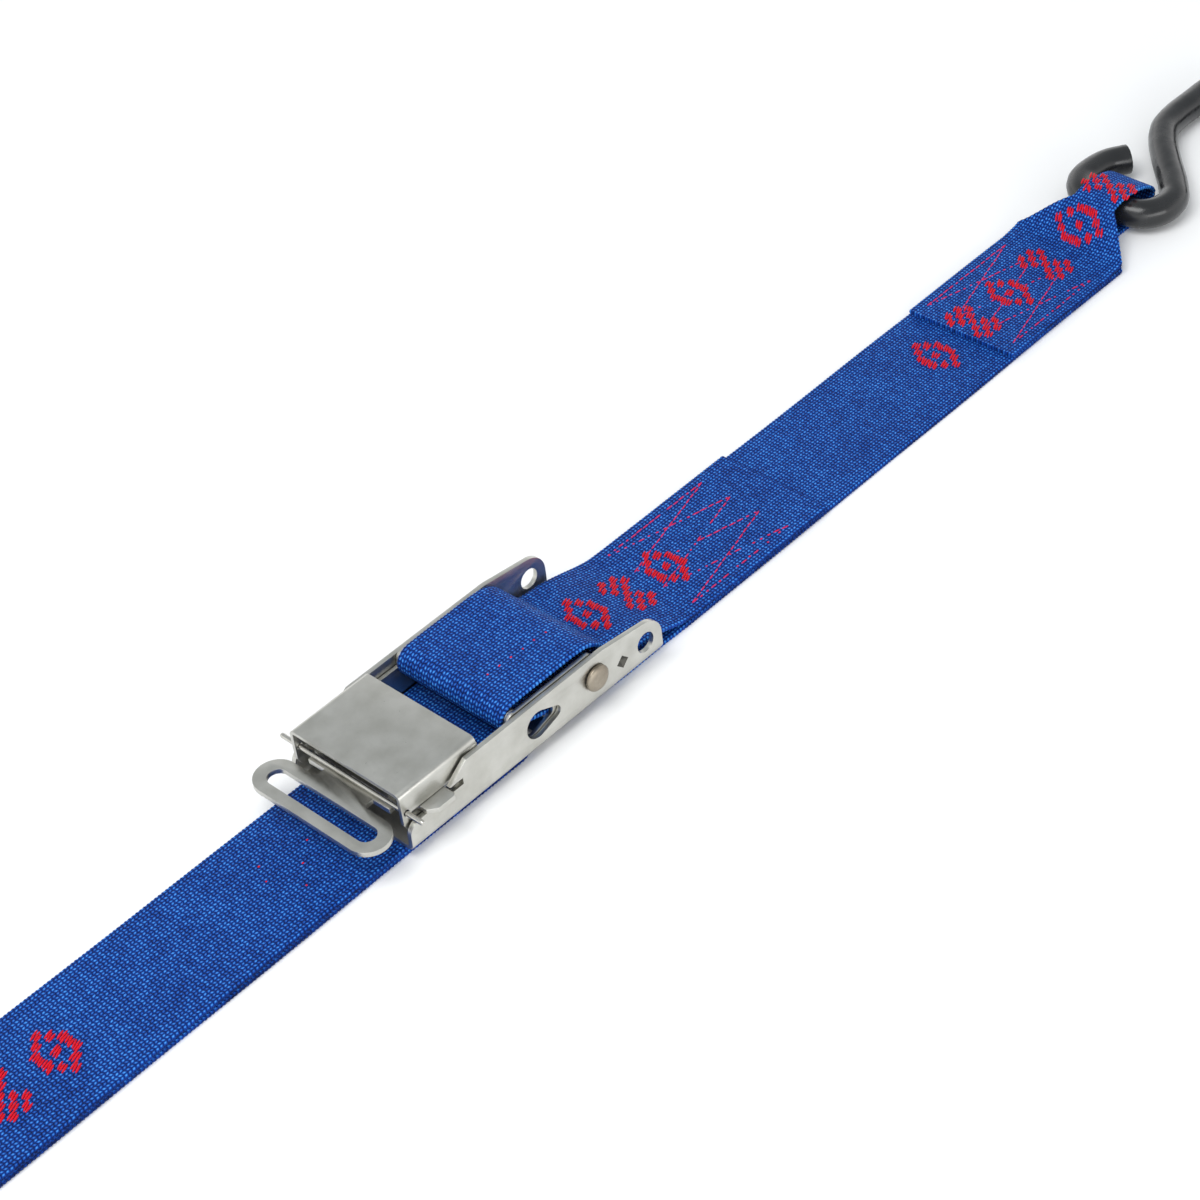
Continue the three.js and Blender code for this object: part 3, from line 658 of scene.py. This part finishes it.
# %% One bead of thread, and a copier
def bead(size_mm):
    """A slim rounded strand of the given length, width and height, along X."""
    bpy.ops.object.select_all(action="DESELECT")
    bpy.ops.mesh.primitive_uv_sphere_add(segments=8, ring_count=6, radius=0.5 * MM,
                                         rotation=(0, math.radians(90), 0))
    made = bpy.context.active_object
    made.scale = (size_mm[2], size_mm[1], size_mm[0])
    bpy.ops.object.transform_apply(location=False, rotation=True, scale=True)
    bpy.ops.object.mode_set(mode="EDIT")
    bpy.ops.mesh.select_all(action="SELECT")
    bpy.ops.mesh.normals_make_consistent(inside=False)
    bpy.ops.object.mode_set(mode="OBJECT")
    bpy.ops.object.shade_smooth()
    return made


def lay_beads(name, master, places, material, body, slot, *replaced):
    """Copies the master to every (x, y, z, slope, turn, length factor) and joins the copies."""
    copies = []
    for x, y, z, slope, turn, stretch in places:
        copy = master.copy()
        copy.data = master.data.copy()
        bpy.context.scene.collection.objects.link(copy)
        lean = Matrix.Rotation(-math.atan(slope), 4, "Y")
        spin = Matrix.Rotation(turn, 4, "Z")
        place = Matrix.Translation(Vector((x, y, z)) * MM)
        copy.matrix_world = place @ lean @ spin @ Matrix.Diagonal((stretch, 1, 1, 1))
        copies.append(copy)
    bpy.ops.object.select_all(action="DESELECT")
    for copy in copies:
        copy.select_set(True)
    piece = copies[0]
    bpy.context.view_layer.objects.active = piece
    bpy.ops.object.join()
    piece.name = name
    bpy.ops.object.transform_apply(location=True, rotation=True, scale=True)
    return finish_piece(piece, material, body, slot, *replaced)


# %% The zigzag boxes and the hem
STITCH = 3.0
STITCH_GAP = 0.3
STITCH_WANDER = 0.15
STITCH_PROUD = 0.05
DOT_PROUD = 0.02
DOTS_SEEN = 0.75  # the part of the sunken stitches that still shows as dots
BOX_HALF = 20.6
stitch_master = bead((STITCH, 0.62, 0.42))
dot_master = bead((1.0, 0.7, 0.45))


def stitch_line(route, start, end, shown, chance):
    """Stitches from start to end; shown is the part of them that lies proud."""
    start, end = Vector(start), Vector(end)
    run = end - start
    count = max(round(run.length / (STITCH + STITCH_GAP)), 1)
    turn = math.atan2(run.y, run.x)
    long_ones, dots = [], []
    for i in range(count):
        at = start + run * ((i + 0.5) / count)
        at.y += chance.uniform(-STITCH_WANDER, STITCH_WANDER)
        z, slope = top_of(route, at.x)
        if chance.random() < shown:
            long_ones.append((at.x, at.y, z + STITCH_PROUD, slope, turn,
                              chance.uniform(0.85, 1.1)))
        elif chance.random() < DOTS_SEEN:
            dots.append((at.x, at.y, z + DOT_PROUD, slope, turn, chance.uniform(0.8, 1.5)))
    return long_ones, dots


def stitched_box(name, route, x0, x1, body, node, seed):
    """The crossing zigzags and side lines between x0 and x1."""
    chance = random.Random(seed)
    side, inner = BOX_HALF, BOX_HALF / 3
    lines = [
        ((x1, side), (x0, inner), 1.0), ((x0, inner), (x1, -inner), 0.35),
        ((x1, -inner), (x0, -side), 1.0),
        ((x0, side), (x1, inner), 0.3), ((x1, inner), (x0, -inner), 0.7),
        ((x0, -inner), (x1, -side), 0.3),
        ((x1, side), (x0, side), 0.6), ((x1, -side), (x0, -side), 0.25),
    ]
    long_ones, dots = [], []
    for start, end, shown in lines:
        found = stitch_line(route, start, end, shown, chance)
        long_ones += found[0]
        dots += found[1]
    lay_beads(name, stitch_master, long_ones, sewing_thread, body, "thread", node)
    lay_beads(name + "_dots", dot_master, dots, sewing_thread, body, "thread")


stitched_box("sewing_at_hook_a", even_a, -316, -262, "buckle_frame", "stitch_hook_a", 21)
stitched_box("sewing_at_hook_b", even_b, 276, 326, "strap_b_body", "stitch_hook_b", 22)
stitched_box("sewing_at_handle", even_b, 92, 144, "strap_b_body", "stitch_handle_loop", 23)

HEM_X = -226
HEM_STITCHES = 13
HEM_PITCH = STITCH + STITCH_GAP
hem_chance = random.Random(24)
hem = [(HEM_X + hem_chance.uniform(-0.1, 0.1), HEM_PITCH * (i - HEM_STITCHES // 2),
        WEB_THICK + DOT_PROUD, 0, math.radians(90), 0.9) for i in range(HEM_STITCHES)]
lay_beads("tail_hem_stitches", stitch_master, hem, sewing_thread, "buckle_frame", "thread",
          "stitch_tail_hem")

# %% [markdown]
# ## The woven motif
#
# Red warp floats make a pattern on the face of the webbing. Each step of the pattern is three
# short floats side by side, leaning a little because the loom pulls them. The pattern here
# is a plain row of lozenges and crosslets. Every float is real geometry, a copy of one
# strand.

# %% Woven lozenges and crosslets
float_master = bead((4.6, 0.92, 1.0))
LOZENGE = ["..###..", ".#...#.", "#..#..#", ".#...#.", "..###.."]
CROSSLET = [".#...#.", "#.#.#.#", ".#.#.#.", "#.#.#.#", ".#...#."]
STEP_ACROSS = 3.2
STEP_ALONG = 2.7
FLOAT_PITCH = 1.07
FLOATS = 3
FLOAT_PROUD = 0.1
FLOAT_WANDER = 0.35
FLOAT_LEAN = (14, 28)
FLOAT_LENGTHS = (0.72, 1.1)


def motif(route, centre_x, pattern, chance):
    """The places of one figure's floats, middle of the figure on the strap's middle."""
    places = []
    for i, line in enumerate(pattern):
        for j, mark in enumerate(line):
            if mark != "#":
                continue
            for k in range(FLOATS):
                x = centre_x + (i - len(pattern) // 2) * STEP_ALONG
                x += chance.uniform(-FLOAT_WANDER, FLOAT_WANDER)
                y = (j - len(line) // 2) * STEP_ACROSS + (k - FLOATS // 2) * FLOAT_PITCH
                z, slope = top_of(route, x)
                lean = math.radians(chance.uniform(*FLOAT_LEAN))
                places.append((x, y, z + FLOAT_PROUD, slope, lean,
                               chance.uniform(*FLOAT_LENGTHS)))
    return places


def motif_row(name, route, centres, body, seed):
    """Lozenges and crosslets in turn, one at each of the centres along the strap."""
    chance = random.Random(seed)
    places = []
    for i, x in enumerate(centres):
        places += motif(route, x, CROSSLET if i % 2 else LOZENGE, chance)
    lay_beads(name, float_master, places, motif_yarn, body, "thread")


motif_row("motif_by_loop", even_b, [61, 81, 101], "strap_b_body", 31)
motif_row("motif_by_hook_b", even_b, [255, 278, 301, 324], "strap_b_body", 32)
motif_row("motif_at_hook_b", even_b, [346, 366], "strap_b_body", 33)
motif_row("motif_at_hook_a", even_a, [-336, -354], "buckle_frame", 34)
motif_row("motif_on_strap_a", even_a, [-224, -202, -180], "buckle_frame", 35)

# %% Specks of red yarn that show through between motifs
SPECK_TURN = 0.2
speck_master = bead((0.9, 0.8, 0.4))
speck_chance = random.Random(36)


def specks(name, route, wanted, body):
    places = []
    for x, y in wanted:
        z, slope = top_of(route, x)
        stretch = speck_chance.uniform(0.7, 1.2)
        aside = y + speck_chance.uniform(-0.5, 0.5)
        places.append((x, aside, z, slope, SPECK_TURN, stretch))
    lay_beads(name, speck_master, places, motif_yarn, body, "thread")


specks("red_specks_on_loop", even_b, [(6 + 5.4 * i, -9 - 0.1 * i) for i in range(6)],
       "strap_b_body")
specks("red_specks_on_strap_a", even_a,
       [(-70, 4), (-78, -3), (-84, -11), (-88, 8), (-91, 1), (-62, -6)], "buckle_frame")
for master in (stitch_master, dot_master, float_master, speck_master):
    bpy.data.objects.remove(master)

# %% [markdown]
# ## The hooks
#
# Each hook is one rod, bent flat into an eye bar, a waist where the two ends cross beside
# each other, and an open hook. A curve with a round bevel is the natural way to make a bent
# rod. The radius of the curve is set point by point: the dip coat swells into a soft lip at
# its open end and closes in a round blob at the hook's tip. The eye bar's middle is kept
# nearly straight, so that the hook can swing in the webbing without lifting it.

# %% Hook centre line
HOOK_BAR = Vector((-366, 0, 7.9))
HOOK_REACH = 112.6
HOOK_BEND = 22
HOOK_SIDE = 15.6  # how far the shank lies to one side of the eye bar's middle
BEND_STEPS = 10
HOOK_LIFT = 1.6  # how much higher the eye bar is than the bend, which lies on the table
HOOK_TILT = math.asin(HOOK_LIFT / HOOK_REACH)
COAT_R = 6.0
STEEL_R = 4.6
HOOK_STEP = 0.5


def hook_line():
    """The rod's middle line, lying flat with the eye bar at zero, and its length."""
    points = [(-31, -13.1), (-24, -17.6), (-16, -19.1), (-8, -18.6), (-2.2, -14.4),
              (-0.1, -7), (0, 0), (-0.1, 7), (-2.2, 14.4), (-8, 18.6), (-17, 18.6),
              (-25, 13.2), (-37, 2.0), (-48, -7.6), (-58, -13.8), (-68, -HOOK_SIDE),
              (-80, -HOOK_SIDE)]
    centre = Vector((-HOOK_REACH + HOOK_BEND, -HOOK_SIDE + HOOK_BEND))
    for i in range(BEND_STEPS + 1):
        angle = -math.pi / 2 - i * math.pi / BEND_STEPS
        points.append(centre + HOOK_BEND * Vector((math.cos(angle), math.sin(angle))))
    points.append(centre + Vector((9, HOOK_BEND)))
    points.append(centre + Vector((13.4, HOOK_BEND)))
    return even_route(smooth_curve(points, 900), HOOK_STEP)


def rod(name, letter, line, radii, closed_ends, material, slot, *replaced):
    """A round rod along a flat line, given its radius at every point, placed as a hook."""
    curve = bpy.data.curves.new(name, "CURVE")
    curve.dimensions = "3D"
    curve.bevel_depth = 1.0 * MM
    curve.bevel_resolution = 6
    curve.use_fill_caps = closed_ends
    spline = curve.splines.new("POLY")
    spline.points.add(len(line) - 1)
    turn = Matrix.Rotation(math.pi if letter == "b" else 0, 4, "Z")
    place = turn @ Matrix.Translation(HOOK_BAR * MM) @ Matrix.Rotation(-HOOK_TILT, 4, "Y")
    for spot, at, radius in zip(spline.points, line, radii):
        spot.co = (*(place @ Vector((at.x * MM, at.y * MM, 0))), 1)
        spot.radius = radius
    piece = bpy.data.objects.new(name, curve)
    bpy.context.scene.collection.objects.link(piece)
    select_only(piece)
    bpy.ops.object.convert(target="MESH")
    piece = bpy.context.active_object
    bpy.ops.object.mode_set(mode="EDIT")
    bpy.ops.mesh.select_all(action="SELECT")
    bpy.ops.mesh.remove_doubles(threshold=0.01 * MM)
    bpy.ops.mesh.normals_make_consistent(inside=False)
    bpy.ops.object.mode_set(mode="OBJECT")
    bpy.ops.object.shade_smooth_by_angle(angle=math.radians(50))
    return finish_piece(piece, material, f"hook_{letter}", slot, *replaced)


# %% Coat and steel of both hooks
hook_points, hook_length = hook_line()
print(f"hook wire {hook_length:.0f} mm")
LIP_LENGTH = 2.5
LIP_SWELL = 0.1
TIP_SHOULDER = 0.99
BLOB_STEPS = 9
STEEL_SHORT = 8  # steps by which the wire stops inside the coat's tip


def coat_radius(s):
    """The coat's radius at a distance s from the open end, where it swells to a lip."""
    swell = LIP_SWELL * math.sin(math.pi * s / LIP_LENGTH) if s < LIP_LENGTH else 0
    return COAT_R + swell


def blob_beyond(line, radius):
    """Points and radii that close the rod with a half ball."""
    ahead = (line[-1] - line[-2]).normalized()
    points, radii = [], []
    for i in range(1, BLOB_STEPS + 1):
        angle = math.pi / 2 * i / BLOB_STEPS
        points.append(line[-1] + ahead * radius * math.sin(angle))
        radii.append(max(radius * math.cos(angle), 0.02))
    return points, radii


tip_points, tip_radii = blob_beyond(hook_points, COAT_R)
mouth = hook_points[0]
behind = (hook_points[0] - hook_points[1]).normalized()
coat_line = [mouth + behind * 0.02, mouth + behind * 0.01, *hook_points, *tip_points]
coat_radii = [STEEL_R + 0.05, COAT_R - 0.5,
              *[coat_radius(i * HOOK_STEP) for i in range(len(hook_points) - 1)],
              COAT_R * TIP_SHOULDER, *tip_radii]
covered = hook_points[:-STEEL_SHORT]
steel_line = [mouth + behind * 0.3, mouth + behind * 0.25, *covered]
steel_radii = [STEEL_R - 0.35, STEEL_R - 0.05, *[STEEL_R] * len(covered)]
for letter in ("a", "b"):
    rod(f"hook_{letter}_dipped_coat", letter, coat_line, coat_radii, False, dipped_vinyl,
        "hook_vinyl", f"hook_{letter}_coating")
    rod(f"hook_{letter}_wire", letter, steel_line, steel_radii, True, hook_wire,
        "hook_wire", f"hook_{letter}_steel")

# %% [markdown]
# ## Camera, floor and light
#
# The camera looks down on the buckle from its open end, with a long lens. The light is a
# large soft source above, a long strip at the side that draws a bright line along the
# plates, and a pale surround.

# %% Camera, floor and lights
AZIMUTH, ELEVATION, ROLL = [math.radians(a) for a in (42.2, 41.21, -7.51)]
CAMERA_AT = Vector((-0.4625, -0.5849, 0.7029))
LENS = 90.87

forward = Vector((math.sin(AZIMUTH) * math.cos(ELEVATION),
                  math.cos(AZIMUTH) * math.cos(ELEVATION), -math.sin(ELEVATION)))
level_right = Vector((math.cos(AZIMUTH), -math.sin(AZIMUTH), 0))
level_up = level_right.cross(forward)
right = math.cos(ROLL) * level_right + math.sin(ROLL) * level_up
up = -math.sin(ROLL) * level_right + math.cos(ROLL) * level_up
turned = Matrix((right, up, -forward)).transposed()
camera_data = bpy.data.cameras.new("camera")
camera_data.lens = LENS
camera = bpy.data.objects.new("camera", camera_data)
camera.matrix_world = Matrix.Translation(CAMERA_AT) @ turned.to_4x4()
bpy.context.scene.collection.objects.link(camera)
bpy.context.scene.camera = camera

FLOOR_SIZE = 12
FLOOR_GAP = 0.05 * MM
bpy.ops.mesh.primitive_plane_add(size=FLOOR_SIZE, location=(0, 0, -FLOOR_GAP))
floor = bpy.context.active_object
floor.name = "floor"
pale_floor, _, _ = new_material("pale_floor", "#f4f4f4", 0.9)
floor.data.materials.append(pale_floor)


def soft_light(name, size, energy, place):
    """A white rectangular light that faces the buckle."""
    data = bpy.data.lights.new(name, "AREA")
    data.shape = "RECTANGLE"
    data.size, data.size_y = size
    data.energy = energy
    light = bpy.data.objects.new(name, data)
    light.location = place
    light.rotation_euler = (-Vector(place)).to_track_quat("-Z", "Y").to_euler()
    light.visible_camera = False
    bpy.context.scene.collection.objects.link(light)


soft_light("overhead_softbox", (1.2, 1.0), 22, (-0.7, -0.1, 1.7))
soft_light("near_side_strip", (1.8, 0.5), 7, (-0.3, -1.5, 0.5))

# The surround is white at the level of the table and grey overhead, like a light tent with
# a dark ceiling. Flat steel that faces up then reads as satin grey, and upright steel as
# bright.
world = bpy.data.worlds.new("studio")
bpy.context.scene.world = world
world.use_nodes = True
sky = world.node_tree
ray = add(sky, "ShaderNodeTexCoord").outputs["Generated"]
ray_z = add(sky, "ShaderNodeSeparateXYZ", {0: ray}).outputs[2]
height = add(sky, "ShaderNodeMapRange", {"Value": ray_z, "From Min": 0.15, "From Max": 0.6})
tent = add(sky, "ShaderNodeMix", {"Factor": height, 6: colour("#ffffff"), 7: colour("#a9adb0")},
           data_type="RGBA")
feed(sky, sky.nodes["Background"], Color=tent)
sky.nodes["Background"].inputs["Strength"].default_value = 1.4

bpy.context.scene.view_settings.view_transform = "Standard"
